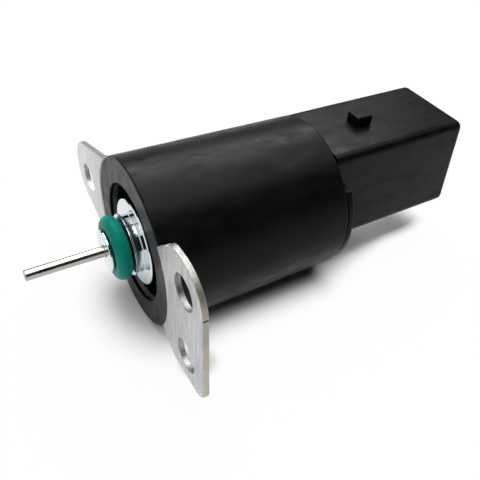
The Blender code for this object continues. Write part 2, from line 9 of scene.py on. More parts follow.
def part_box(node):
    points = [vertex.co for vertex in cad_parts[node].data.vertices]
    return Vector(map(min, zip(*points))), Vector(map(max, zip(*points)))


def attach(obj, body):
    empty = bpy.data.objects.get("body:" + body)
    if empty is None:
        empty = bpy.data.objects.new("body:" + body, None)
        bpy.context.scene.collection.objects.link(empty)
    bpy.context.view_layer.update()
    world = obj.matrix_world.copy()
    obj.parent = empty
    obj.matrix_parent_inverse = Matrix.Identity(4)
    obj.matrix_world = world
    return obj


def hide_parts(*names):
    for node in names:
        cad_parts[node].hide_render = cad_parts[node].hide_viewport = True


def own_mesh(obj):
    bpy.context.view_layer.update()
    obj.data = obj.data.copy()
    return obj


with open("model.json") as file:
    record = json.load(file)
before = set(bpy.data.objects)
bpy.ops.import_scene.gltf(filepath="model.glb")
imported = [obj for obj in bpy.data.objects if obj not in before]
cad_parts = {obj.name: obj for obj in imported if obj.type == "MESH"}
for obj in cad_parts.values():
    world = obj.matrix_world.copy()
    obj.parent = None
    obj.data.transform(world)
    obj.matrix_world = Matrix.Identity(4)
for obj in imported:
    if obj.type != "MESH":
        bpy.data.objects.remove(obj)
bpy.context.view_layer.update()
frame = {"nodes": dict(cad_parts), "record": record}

MM = 0.001    # sizes of the part are in millimetres; shader zones, table and studio are in metres
HOUSING = "housing"
PLUNGER = "plunger"
QUARTER = math.pi / 2
GAP = 0.3                 # between pieces that touch on the real part

# radii
PIN_R, CLIP_GROOVE_R, BUSH_SEAT_R = 1.2, 0.9, 2.7
GROOVE_FLOOR_R, NOSE_LIP_R, BOSS_R, GROOVE_LIP_R = 3.5, 4.8, 6.7, 7.1
RING_MEAN_R, RING_WIRE_R = 5.6, 1.8
DISK_R, RECESS_R, RECESS_LIP, BODY_BORE, BODY_R, FACE_R = 10.1, 13.7, 0.6, 17.3, 19.0, 19.7
ARMATURE_R, YOKE_OUT = 8.0, 16.7
# places along X
PIN_TIP, NOSE_FRONT, GROOVE_FRONT, RING_X, GROOVE_BACK = -23.3, -6.1, -5.6, -3.5, -1.4
GROOVE_LIP_T, CAP_BACK, DISK_X, FACE_X, SKIN_BACK = 0.4, -5.4, 0.6, 0.3, 1.0
STEP, PLATE_T, PLATE_BACK, POTTING_T, NOSE_END = 1.3, 1.4, 2.7, 0.7, 6.7
CLIP_GROOVE_X, CLIP_GROOVE_END, PIN_END = 17.05, 17.95, 18.45
BODY_END, BOX_X, SOCKET_FLOOR, BOX_END = 45.9, 46.2, 66.9, 86.9
# return spring
SPRING_MEAN_R, SPRING_WIRE_R, SPRING_FIXED_X, PLUNGER_TRAVEL = 4.1, 0.45, 37.6, 6.0
SPRING_TURNS, SPRING_END_GAP = 8, 0.3
# flange
BOLT_R, BOLT_HOLE_R = 29.2, 3.8
HOLE_ANGLE = math.radians(17.6)
FLANGE_TURN = math.radians(-3.4)
FAR_RIM, SIDE_RIM, TOP_RIM, LOW_RIM = 4.9, 4.0, 3.8, 2.8    # sheet left outside the holes
FAR_ANGLE, FLANK_R, FLANK_ANGLE = math.radians(1.5), 17.6, math.radians(44.5)
NECK_LEAN, NECK_SET_OFF = math.radians(39.5), 1.8
SHOULDER_R, TOP_CORNER_R, LOW_CORNER_R = 3.5, 8.6, 3.0
CORNER_STOP = 0.09              # the top corner's arc ends this angle early, in a faint kink
NECK_NICK, SIDE_NICK = (0.88, 0.8), (0.0155, 0.25)    # share of the way along, half width
STEP_R, STEP_RUN = 19.15, 0.5
BEND_R, BEND_OUTER_R = 0.25, 0.9
BLANK_R = 60.0
SLOT_PLAY = 0.25                # between the sheet and its slot in the body
OVERCUT = 3.0
# connector
BOX_HALF_W, BOX_TOP, BOX_LOW = 11.2, 16.3, -9.9
TOP_EDGE_R, LOW_EDGE_R, SHARPEST_R, MOUTH_WALL = 2.1, 2.7, 0.4, 2.2
MOUTH_RIM_R, MOUTH_INNER_R = 1.7, 0.25
BOX_LEAN, BOX_DRAFT, SOCKET_DRAFT = 0.09, 0.2, 0.2
COLLAR_R, COLLAR_T, COLLAR_TOP = BODY_R - 0.3, 1.6, 10.0
POCKET, POCKET_DEPTH = (-6.6, 6.6, -1.2, 13.85), 3.1
LATCH_X, LATCH_L, LATCH_HALF_W = BOX_X + 11.9, 4.5, 2.0
LATCH_H, LATCH_TIP_H, LATCH_EDGE = 2.55, 2.45, 0.22
BLADE_Y, BLADE_Z, BLADE_W, BLADE_T = 4.5, 3.2, 6.3, 0.8
# a blade's tip: way back from its end, width taken off, share of the thickness
BLADE_TIP = ((1.8, 0.0, 1.0), (1.4, 0.35, 0.86), (0.3, 1.5, 0.45), (0.0, 1.9, 0.33))

# zones that the moulding's shader picks out
RING_FACE_X = (0.00035, 0.00045)          # the ring face ends where the barrel begins
RING_FACE_RISE = (-0.006, 0.019)          # painted light: it is paler toward the top, where more light falls
RING_FACE_RIM = (0.0187, 0.0190)          # painted shade: its outer edge is darker beside the wide ear, for the shade in the gap
BESIDE_WIDE_EAR = (-0.006, -0.002)
RECESS_WALL_R = (0.01375, 0.01385)        # the recess in front is matt
RECESS_X = (0.0030, 0.0032)
RING_FACE_GREY = (0.085, 0.083, 0.088)       # the ring face's paler grey, graded lighter toward the top as painted light

# zones and colours of the sheet's shader
EAR_CORNER = (-31.23, 10.11)              # mm, centre of the wide ear's top corner, as it stands
CORNER_BAND = (0.0050, 0.0068)            # the streaks bend round the corner from here on
# over this span the near ear's walls turn khaki
KHAKI_WALLS_Y = (-0.034, -0.031)
# painted reflection: the far ear is paler over this span, for the white table it mirrors
FAR_EAR_Y = (0.015, 0.030)
UPPER_WALL_Z = (-0.004, 0.003)
SHEET_DULL, SHEET_BRIGHT = (0.36, 0.36, 0.355), (0.62, 0.615, 0.63)
# the second colour is painted reflection on the far ear
SHEET_SPOT, FAR_EAR_PAINTED_REFLECTION = (0.34, 0.345, 0.32), (0.92, 0.92, 0.93)
SHEET_SHADED, SHEET_KHAKI = (0.22, 0.22, 0.20), (0.48, 0.45, 0.31)

# table: the part lies on its body and on the wide ear's low corner
TABLE_NORMAL = (0.0, 0.096, 0.9954)
TABLE_R = 1.2
TABLE_CLEAR = 0.02                        # mm, below the body
TABLE_COLOUR = (0.93, 0.92, 0.95, 1.0)
# the strip of the table under the part that shows its shade; outside it a painted glow whitens the
# shadow
STRIP_START, STRIP_END, STRIP_MIDDLE = 0.012, 0.075, 0.0019
STRIP_TAPER_X, STRIP_TAPER = (0.044, 0.072), 1.95
NOSE_SIDE_X = (0.0, 0.014)                # over these the strip's width changes, nose to body
FULL_SHADE_R, NO_SHADE_R = (0.0100, 0.0112), (0.0275, 0.0232)
# painted light: the glow outside the strip, and a faint glow that lightens the shade under the box
# and by the nose
OUTSIDE_WHITE, FAINT_WHITE = 0.96, 0.22
FAINT_REAR_X, FAINT_FRONT_X = (0.048, 0.068), (-0.003, 0.010)
EAR_SPOT, EAR_SPOT_R, EAR_SPOT_WHITE = (0.005, -0.0225, 0.0), (0.0020, 0.0055), 0.15

# studio
FILL, WHITE = 0.10, 1.0
ROOM_LEFT, ROOM_RIGHT, ROOM_FRONT, ROOM_REAR = -0.45, 0.9, -0.42, 0.7
ROOM_FLOOR, ROOM_TOP, CARD_START = -0.01, 0.7, -0.02
CARD_BLACK = (0.01, 0.01, 0.01, 1.0)
CAMERA_LENS, CAMERA_PLACE = 43.15, (-0.02973, -0.09133, 0.08820)
CAMERA_RIGHT, CAMERA_UP = (0.8693, -0.4905, 0.0613), (0.2920, 0.6095, 0.7370)


# ---- geometry helpers

def plain_object(name, bm):
    """Makes an object of the mesh. It isn't a piece until it is dressed."""
    bmesh.ops.recalc_face_normals(bm, faces=bm.faces)
    mesh = bpy.data.meshes.new(name)
    bm.to_mesh(mesh)
    bm.free()
    obj = bpy.data.objects.new(name, mesh)
    bpy.context.scene.collection.objects.link(obj)
    return obj


def dress(obj, slot, nodes, body=HOUSING, sharp=40.0):
    """Shades the object, seats it on its body and stands it in for its CAD nodes."""
    obj.data.materials.clear()
    obj.data.materials.append(materials[slot])
    obj.data.shade_smooth()
    obj.data.set_sharp_from_angle(angle=math.radians(sharp))
    even = obj.modifiers.new("even_normals", "WEIGHTED_NORMAL")
    even.keep_sharp = True
    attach(obj, body)
    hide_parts(*nodes)


def finish_mesh(name, bm, slot, nodes, body=HOUSING):
    obj = plain_object(name, bm)
    dress(obj, slot, nodes, body)
    return obj


def combine(target, tool, operation):
    """Applies one boolean to the target's mesh and removes the tool."""
    mod = target.modifiers.new("combine", "BOOLEAN")
    mod.operation = operation
    mod.solver = "EXACT"
    mod.object = tool
    graph = bpy.context.evaluated_depsgraph_get()
    made = bpy.data.meshes.new_from_object(target.evaluated_get(graph))
    target.modifiers.clear()
    old = target.data
    target.data = made
    bpy.data.meshes.remove(old)
    bpy.data.objects.remove(tool, do_unlink=True)


def rounded(points, steps):
    """A closed profile of (x, r, radius) corners as (x, r) points with an arc at each corner."""
    out = []
    count = len(points)
    for i, (x, r, radius) in enumerate(points):
        if radius <= 0.0:
            out.append((x, r))
            continue
        corner = Vector((x, r))
        a = Vector(points[i - 1][:2]) - corner
        b = Vector(points[(i + 1) % count][:2]) - corner
        half = a.angle(b) / 2
        reach = min(radius / math.tan(half), 0.48 * a.length, 0.48 * b.length)
        true_r = reach * math.tan(half)
        inward = (a.normalized() + b.normalized()).normalized()
        centre = corner + inward * (true_r / math.sin(half))
        start = corner + a.normalized() * reach - centre
        end = corner + b.normalized() * reach - centre
        for k in range(steps + 1):
            u = k / steps
            p = centre + (start * (1 - u) + end * u).normalized() * true_r
            out.append((p.x, p.y))
    return out


def skin(bm, rings, closed):
    """Faces between neighbouring rings of vertices; a ring of one vertex is a tip."""
    pairs = list(zip(rings, rings[1:]))
    if closed:
        pairs.append((rings[-1], rings[0]))
    for a, b in pairs:
        count = max(len(a), len(b))
        if count == 1:
            continue
        for i in range(count):
            j = (i + 1) % count
            corners = [a[i % len(a)], a[j % len(a)], b[j % len(b)], b[i % len(b)]]
            bm.faces.new(list(dict.fromkeys(corners)))


def revolve_mesh(profile, segments):
    """A closed (x, r) profile in millimetres, turned round the X axis."""
    bm = bmesh.new()
    rings = []
    for x, r in profile:
        count = segments if r > 1e-6 else 1
        ring = []
        for i in range(count):
            a = 2 * math.pi * i / count
            ring.append(bm.verts.new((x * MM, r * math.cos(a) * MM, r * math.sin(a) * MM)))
        rings.append(ring)
    skin(bm, rings, True)
    return bm


def turned(name, points, slot, nodes, body=HOUSING, segments=128):
    return finish_mesh(name, revolve_mesh(rounded(points, 4), segments), slot, nodes, body)


def tube(x0, x1, r_in, r_out, edge=0.15):
    return [(x0, r_in, edge), (x0, r_out, edge), (x1, r_out, edge), (x1, r_in, edge)]


def arc(cy, cz, radius, a0, a1, count):
    step = (a1 - a0) / (count - 1)
    return [(cy + radius * math.cos(a0 + i * step), cz + radius * math.sin(a0 + i * step))
            for i in range(count)]


def circle(y, z, radius, count):
    return arc(y, z, radius, 0.0, 2 * math.pi * (count - 1) / count, count)


def rectangle(y0, y1, z0, z1):
    return [(y0, z0), (y1, z0), (y1, z1), (y0, z1)]


def quarter_turn(steps):
    return [QUARTER * k / steps for k in range(steps + 1)]


def loft_mesh(rings):
    """A closed body through rings of (x, y, z) points in millimetres."""
    bm = bmesh.new()
    made = [[bm.verts.new(Vector(p) * MM) for p in ring] for ring in rings]
    skin(bm, made, False)
    bm.faces.new(made[0])
    bm.faces.new(made[-1])
    return bm


def prism_object(name, outline, x0, x1):
    return plain_object(name, loft_mesh([[(x, y, z) for y, z in outline] for x in (x0, x1)]))


# ---- shader helpers

def new_material(name):
    mat = bpy.data.materials.new(name)
    mat.use_nodes = True
    return mat, mat.node_tree, mat.node_tree.nodes["Principled BSDF"]


def add_node(tree, kind, values=None, **settings):
    node = tree.nodes.new(kind)
    for key, value in settings.items():
        setattr(node, key, value)
    for key, value in (values or {}).items():
        if isinstance(value, bpy.types.NodeSocket):
            tree.links.new(value, node.inputs[key])
        else:
            node.inputs[key].default_value = value
    return node


def maths(tree, operation, a, b=0.0):
    return add_node(tree, "ShaderNodeMath", {0: a, 1: b}, operation=operation).outputs[0]


def product(tree, first, *others):
    for factor in others:
        first = maths(tree, "MULTIPLY", first, factor)
    return first


def object_place(tree):
    return add_node(tree, "ShaderNodeTexCoord").outputs["Object"]


def split_xyz(tree, vector):
    return list(add_node(tree, "ShaderNodeSeparateXYZ", {0: vector}).outputs)


def length_of(tree, vector):
    return add_node(tree, "ShaderNodeVectorMath", {0: vector}, operation="LENGTH").outputs["Value"]


def object_coords(tree, stretch=(1.0, 1.0, 1.0)):
    mapping = add_node(tree, "ShaderNodeMapping", {"Vector": object_place(tree), "Scale": stretch})
    return mapping.outputs["Vector"]


def turning_coords(tree):
    """(x, distance from the X axis, 0): equal all round the axis, for what a lathe leaves."""
    x, y, z = split_xyz(tree, object_place(tree))
    flat = add_node(tree, "ShaderNodeCombineXYZ", {1: y, 2: z})
    radius = length_of(tree, flat.outputs[0])
    return add_node(tree, "ShaderNodeCombineXYZ", {0: x, 1: radius}).outputs[0]


def stretched(tree, *axes):
    """A vector from three (value, factor) pairs."""
    return add_node(tree, "ShaderNodeCombineXYZ", {
        i: maths(tree, "MULTIPLY", value, factor) for i, (value, factor) in enumerate(axes)
    }).outputs[0]


def noise(tree, vector, per_metre, detail=4.0, roughness=0.55):
    return add_node(tree, "ShaderNodeTexNoise", {
        "Vector": vector, "Scale": per_metre, "Detail": detail, "Roughness": roughness,
    }).outputs["Fac"]


def spread(tree, value, low, high, from_low=0.3, from_high=0.7, curve="LINEAR"):
    """Maps the value from one range to another and clamps it. Noise is mostly 0.3 to 0.7."""
    return add_node(tree, "ShaderNodeMapRange", {
        "Value": value, "From Min": from_low, "From Max": from_high,
        "To Min": low, "To Max": high,
    }, interpolation_type=curve).outputs["Result"]


def blend_colours(tree, factor, a, b):
    mix = add_node(tree, "ShaderNodeMix", {"Factor": factor}, data_type="RGBA")
    for socket, colour in ((mix.inputs[6], a), (mix.inputs[7], b)):
        if isinstance(colour, bpy.types.NodeSocket):
            tree.links.new(colour, socket)
        else:
            socket.default_value = (*colour, 1.0)
    return mix.outputs[2]


def bump(tree, height, strength, depth_mm, below=None):
    values = {"Height": height, "Strength": strength, "Distance": depth_mm * MM}
    if below is not None:
        values["Normal"] = below
    return add_node(tree, "ShaderNodeBump", values).outputs["Normal"]


def end_face_mask(tree):
    """1 on faces that look along X or against it, 0 on faces around the X axis."""
    normal = add_node(tree, "ShaderNodeTexCoord").outputs["Normal"]
    return maths(tree, "ABSOLUTE", split_xyz(tree, normal)[0])


def seen_directly(tree):
    """1 where the camera, a mirror or glass looks at it, 0 for the light that it gives on."""
    path = add_node(tree, "ShaderNodeLightPath")
    seen = maths(tree, "MAXIMUM", path.outputs["Is Camera Ray"], path.outputs["Is Glossy Ray"])
    return maths(tree, "MAXIMUM", seen, path.outputs["Is Transmission Ray"])


# ---- materials

def moulded(name, dark, light, rough, grain=1.0, specular=0.5):
    """Moulded plastic: fine grain, faint flow marks, rubbed spots, matt in the front recess."""
    mat, tree, shader = new_material(name)
    shader.inputs["Specular IOR Level"].default_value = specular
    coords = object_coords(tree)
    flow = noise(tree, object_coords(tree, (0.4, 1.0, 1.0)), 260, 3.0)
    fine = noise(tree, coords, 5200, 3.0, 0.65)
    rubbed = noise(tree, object_coords(tree, (0.45, 1.0, 1.0)), 330, 7.0, 0.72)
    axial, radius, _ = split_xyz(tree, turning_coords(tree))
    _, y, z = split_xyz(tree, coords)
    # painted shade in the gap between the ring face's edge and the wide ear
    painted_rim_shade = product(tree, spread(tree, radius, 0.0, 1.0, *RING_FACE_RIM),
                       spread(tree, y, 1.0, 0.0, *BESIDE_WIDE_EAR))
    # the ring face is painted a paler grey, lighter toward the top as painted light
    pale_face_and_painted_light = product(tree, spread(tree, axial, 1.0, 0.0, *RING_FACE_X),
                     spread(tree, z, 0.0, 1.0, *RING_FACE_RISE), spread(tree, flow, 0.8, 1.0),
                     maths(tree, "SUBTRACT", 1.0, painted_rim_shade))
    tint = blend_colours(tree, spread(tree, flow, 0.0, 1.0), dark, light)
    tree.links.new(blend_colours(tree, pale_face_and_painted_light, tint, RING_FACE_GREY), shader.inputs["Base Color"])
    recess = product(tree, spread(tree, radius, 0.55, 0.0, *RECESS_WALL_R),
                     spread(tree, axial, 1.0, 0.0, *RECESS_X))
    tree.links.new(maths(tree, "ADD", recess, spread(tree, rubbed, rough - 0.11, rough + 0.22)),
                   shader.inputs["Roughness"])
    ripple = bump(tree, flow, 0.35, 0.10)
    tree.links.new(bump(tree, fine, 0.30 * grain, 0.020, ripple), shader.inputs["Normal"])
    return mat


def turned_metal(name, colour, other, rough, lines=0.25, per_metre=9000):
    """Turned or drawn metal: fine rings round the axis and a faint change of tint."""
    mat, tree, shader = new_material(name)
    rings = noise(tree, turning_coords(tree), per_metre, 2.0, 0.6)
    patches = noise(tree, object_coords(tree), 420, 4.0, 0.6)
    tree.links.new(blend_colours(tree, spread(tree, patches, 0.0, 1.0), colour, other),
                   shader.inputs["Base Color"])
    tree.links.new(spread(tree, patches, rough * 0.8, rough * 1.35), shader.inputs["Roughness"])
    tree.links.new(bump(tree, rings, lines, 0.012), shader.inputs["Normal"])
    shader.inputs["Metallic"].default_value = 1.0
    return mat


def zinc_sheet(name):
    """Zinc plated sheet, rubbed along the ears and round the wide ear's top corner."""
    mat, tree, shader = new_material(name)
    place = object_place(tree)
    x, y, z = split_xyz(tree, place)
    cy, cz = EAR_CORNER
    across = add_node(tree, "ShaderNodeCombineXYZ", {1: maths(tree, "SUBTRACT", y, cy * MM),
                                                     2: maths(tree, "SUBTRACT", z, cz * MM)})
    reach = length_of(tree, across.outputs[0])
    round_corner = product(tree, spread(tree, reach, 0.0, 1.0, *CORNER_BAND),
                           spread(tree, z, 0.0, 1.0, (cz - 3.0) * MM, cz * MM),
                           spread(tree, y, 1.0, 0.0, cy * MM, (cy + 2.0) * MM))
    straight = noise(tree, stretched(tree, (x, 2.6), (y, 2.6), (z, 0.20)), 520, 7.0, 0.68)
    swept = noise(tree, stretched(tree, (x, 2.6), (reach, 2.6), (z, 0.15)), 560, 7.0, 0.68)
    streaks = add_node(tree, "ShaderNodeMix", {0: round_corner, 2: straight, 3: swept}).outputs[0]
    cloud = noise(tree, place, 240, 4.0, 0.6)
    mottle = noise(tree, place, 1500, 4.0, 0.6)
    wall = spread(tree, end_face_mask(tree), 1.0, 0.0, 0.35, 0.85)
    shaded = product(tree, wall, spread(tree, z, 0.0, 0.8, *UPPER_WALL_Z))
    # the near ear's walls turn khaki in cloudy patches
    khaki_patches = product(tree, wall, spread(tree, y, 1.0, 0.0, *KHAKI_WALLS_Y),
                      spread(tree, cloud, 0.45, 1.0, 0.35, 0.60))
    face = blend_colours(tree, spread(tree, streaks, 0.0, 1.0, 0.34, 0.62), SHEET_DULL,
                         SHEET_BRIGHT)
    face = blend_colours(tree, spread(tree, mottle, 0.0, 0.8, 0.56, 0.72), face, SHEET_SPOT)
    # painted reflection: the far ear is painted paler, for the white table it mirrors
    face = blend_colours(tree, spread(tree, y, 0.0, 0.35, *FAR_EAR_Y), face, FAR_EAR_PAINTED_REFLECTION)
    face = blend_colours(tree, shaded, face, SHEET_SHADED)
    face = blend_colours(tree, khaki_patches, face, SHEET_KHAKI)
    tree.links.new(face, shader.inputs["Base Color"])
    tree.links.new(maths(tree, "ADD", spread(tree, mottle, 0.26, 0.42), product(tree, wall, 0.16)),
                   shader.inputs["Roughness"])
    scratches = bump(tree, streaks, 0.70, 0.085)
    tree.links.new(bump(tree, mottle, 0.35, 0.035, scratches), shader.inputs["Normal"])
    shader.inputs["Metallic"].default_value = 1.0
    return mat


def rubber(name, dark, light, rough, specular=0.5):
    """Smooth moulded rubber, faintly mottled."""
    mat, tree, shader = new_material(name)
    shader.inputs["Specular IOR Level"].default_value = specular
    mottle = noise(tree, object_coords(tree), 520, 4.0, 0.6)
    fine = noise(tree, object_coords(tree), 4200, 3.0, 0.6)
    tree.links.new(blend_colours(tree, spread(tree, mottle, 0.0, 1.0), dark, light),
                   shader.inputs["Base Color"])
    tree.links.new(spread(tree, fine, rough - 0.05, rough + 0.08), shader.inputs["Roughness"])
    tree.links.new(bump(tree, fine, 0.25, 0.02), shader.inputs["Normal"])
    return mat


materials = {
    "black_moulding": moulded("black_moulding_look", (0.0026, 0.0026, 0.0029),
                              (0.0042, 0.0040, 0.0040), 0.34, specular=0.09),
    "zinc_plate": zinc_sheet("zinc_sheet_look"),
    "bright_zinc": turned_metal("bright_zinc_look", (0.60, 0.70, 0.73), (0.76, 0.76, 0.79),
                                0.10, 0.20, 7000),
    "green_rubber": rubber("green_rubber_look", (0.0, 0.265, 0.200), (0.001, 0.330, 0.255), 0.42,
                           0.12),
    "stainless": turned_metal("stainless_look", (0.42, 0.40, 0.37), (0.50, 0.48, 0.45), 0.20,
                              0.20, 12000),
    "plain_steel": turned_metal("plain_steel_look", (0.40, 0.40, 0.41), (0.50, 0.49, 0.48), 0.34),
    "brass": turned_metal("brass_look", (0.70, 0.50, 0.20), (0.76, 0.58, 0.28), 0.28),
    "bronze": turned_metal("bronze_look", (0.52, 0.33, 0.16), (0.62, 0.42, 0.24), 0.42),
    "enamelled_copper": turned_metal("copper_look", (0.62, 0.22, 0.08), (0.70, 0.30, 0.12), 0.26),
    "natural_nylon": moulded("nylon_look", (0.66, 0.62, 0.52), (0.74, 0.71, 0.62), 0.48),
    "coil_tape": moulded("tape_look", (0.70, 0.50, 0.06), (0.80, 0.60, 0.10), 0.40, 0.5),
    "black_rubber": rubber("black_rubber_look", (0.012, 0.012, 0.012), (0.022, 0.022, 0.022),
                           0.68),
    "black_epoxy": moulded("epoxy_look", (0.0018, 0.0018, 0.0020), (0.0030, 0.0030, 0.0032), 0.55,
                           0.6, 0.0),
    "tinned_brass": turned_metal("tinned_look", (0.66, 0.65, 0.61), (0.74, 0.73, 0.70), 0.24),
    "lead_insulation": moulded("lead_look", (0.42, 0.025, 0.018), (0.50, 0.04, 0.03), 0.42, 0.5),
}

for row in frame["record"]["subparts"]:
    node = frame["nodes"][row["node"]]
    node.data.materials.clear()
    node.data.materials.append(materials[row["material_slot"]])


# ---- body and flange

def nicked(y0, z0, y1, z1, at, size):
    """A small notch on the line from one point to the other."""
    length = math.hypot(y1 - y0, z1 - z0)
    uy, uz = (y1 - y0) / length, (z1 - z0) / length
    cy, cz = y0 + (y1 - y0) * at, z0 + (z1 - z0) * at
    return [(cy - uy * size, cz - uz * size), (cy - uz * size, cz + uy * size),
            (cy + uy * size, cz + uz * size)]


def flange_outline(grow=0.0, marks=True):
    """The same outline as the CAD plate's, with more points on its curves."""
    disc, far, flank_r = YOKE_OUT + grow, BOLT_HOLE_R + FAR_RIM + grow, FLANK_R + grow
    hole_y, hole_z = BOLT_R * math.cos(HOLE_ANGLE), BOLT_R * math.sin(HOLE_ANGLE)
    side = -hole_y - BOLT_HOLE_R - SIDE_RIM - grow
    top = hole_z + BOLT_HOLE_R + TOP_RIM + grow
    bottom = -hole_z - BOLT_HOLE_R - LOW_RIM - grow
    tangent = math.acos((flank_r - far) / BOLT_R)
    flank = FLANK_ANGLE + grow / disc
    flank_end = flank_r / math.cos(tangent - flank)
    cos_lean, sin_lean = math.cos(NECK_LEAN), math.sin(NECK_LEAN)
    set_off = grow - NECK_SET_OFF
    run = math.sqrt(disc ** 2 - set_off ** 2)
    neck_y = set_off * sin_lean - run * cos_lean
    neck_z = set_off * cos_lean + run * sin_lean
    neck = math.atan2(neck_z, neck_y)
    r = SHOULDER_R

    def shoulder(height):
        rise = height - r + r * cos_lean - neck_z
        return neck_y - rise * cos_lean / sin_lean - r * sin_lean

    far_y, far_z = BOLT_R * math.cos(FAR_ANGLE), BOLT_R * math.sin(FAR_ANGLE)
    disc_top = arc(0.0, 0.0, disc, FAR_ANGLE + flank, neck, 25)
    disc_low = arc(0.0, 0.0, disc, -neck, FAR_ANGLE - flank, 25)
    top_shoulder = arc(shoulder(top), top - r, r, QUARTER - NECK_LEAN, QUARTER, 13)
    low_shoulder = arc(shoulder(-bottom), bottom + r, r, -QUARTER, NECK_LEAN - QUARTER, 13)
    top_corner = arc(side + TOP_CORNER_R, top - TOP_CORNER_R, TOP_CORNER_R, QUARTER,
                     2 * QUARTER - CORNER_STOP, 28)
    low_corner = arc(side + LOW_CORNER_R, bottom + LOW_CORNER_R, LOW_CORNER_R, 2 * QUARTER,
                     3 * QUARTER, 16)
    pts = arc(far_y, far_z, far, FAR_ANGLE - tangent, FAR_ANGLE + tangent, 49)
    pts.append((flank_end * math.cos(FAR_ANGLE + flank), flank_end * math.sin(FAR_ANGLE + flank)))
    pts += disc_top
    if marks:
        pts += nicked(*disc_top[-1], *top_shoulder[0], *NECK_NICK)
    pts += top_shoulder + top_corner
    if marks:
        pts += nicked(*top_corner[-1], *low_corner[0], *SIDE_NICK)
    pts += low_corner + low_shoulder + disc_low
    pts.append((flank_end * math.cos(FAR_ANGLE - flank), flank_end * math.sin(FAR_ANGLE - flank)))
    c, s = math.cos(FLANGE_TURN), math.sin(FLANGE_TURN)
    return [(y * c - z * s, y * s + z * c) for y, z in pts]


def stepped_blank(name, grow=0.0):
    """The sheet before its outline is cut, its middle stepped back behind the body's face."""
    bend = math.tan(math.atan2(STEP, STEP_RUN) / 2)
    front, back = STEP_R - grow * bend, STEP_R + (PLATE_T + grow) * bend
    profile = rounded([
        (STEP - grow, 0.0, 0.0), (STEP - grow, front, BEND_OUTER_R),
        (-grow, front + STEP_RUN, BEND_R), (-grow, BLANK_R, 0.0), (PLATE_T + grow, BLANK_R, 0.0),
        (PLATE_T + grow, back + STEP_RUN, BEND_OUTER_R), (PLATE_BACK + grow, back, BEND_R),
        (PLATE_BACK + grow, 0.0, 0.0),
    ], 5)
    return plain_object(name, revolve_mesh(profile, 240))


def edge_depths(front=0.30, roll=0.45, back=0.10):
    """(x, inset) down a punched wall: rolled over at the front, a hint of a burr at the back."""
    turns = quarter_turn(5)
    rows = [(-OVERCUT, roll)]
    rows += [(front * (1 - math.cos(a)), roll * (1 - math.sin(a))) for a in turns]
    rows += [(PLATE_T - back * (1 - math.sin(a)), back * (1 - math.cos(a))) for a in turns]
    return rows + [(PLATE_BACK + OVERCUT, back)]


def build_flange():
    """Stepped sheet with edges rolled over by the punch on its front side."""
    plate = stepped_blank("flange_sheet")
    for angle in (0.0, math.pi - HOLE_ANGLE, math.pi + HOLE_ANGLE):
        a = angle + FLANGE_TURN
        y, z = BOLT_R * math.cos(a), BOLT_R * math.sin(a)
        rings = [[(x, py, pz) for py, pz in circle(y, z, BOLT_HOLE_R + inset, 72)]
                 for x, inset in edge_depths(roll=0.30)]
        combine(plate, plain_object("cut_bolt_hole", loft_mesh(rings)), "DIFFERENCE")
    bore = prism_object("cut_bore", circle(0.0, 0.0, RECESS_R + RECESS_LIP + GAP, 120), 0.0, 5.0)
    combine(plate, bore, "DIFFERENCE")
    rings = [[(x, y, z) for y, z in flange_outline(-inset - 0.01)] for x, inset in edge_depths()]
    combine(plate, plain_object("trim_flange", loft_mesh(rings)), "INTERSECT")
    dress(plate, "zinc_plate", ["flange_plate"])


def build_body():
    """Cup with the ring face in front and the slot that holds the flange."""
    lip_r = RECESS_R + RECESS_LIP
    profile = rounded([
        (FACE_X, RECESS_R, 0.12), (FACE_X, FACE_R, 0.4), (BODY_END, BODY_R, 0.45),
        (BODY_END, BODY_BORE, 0.1), (SKIN_BACK, BODY_BORE, 0.0), (SKIN_BACK, lip_r, 0.0),
        (PLATE_BACK, lip_r, 0.0), (PLATE_BACK, RECESS_R, 0.1),
    ], 6)
    body = plain_object("body_shell", revolve_mesh(profile, 192))
    slot = stepped_blank("cut_flange_slot", SLOT_PLAY)
    trim = prism_object("trim_slot", flange_outline(SLOT_PLAY, False), -OVERCUT, 2 * OVERCUT)
    combine(slot, trim, "INTERSECT")
    combine(body, slot, "DIFFERENCE")
    dress(body, "black_moulding", ["body_housing"], sharp=35.0)


# ---- nose, pin and spring

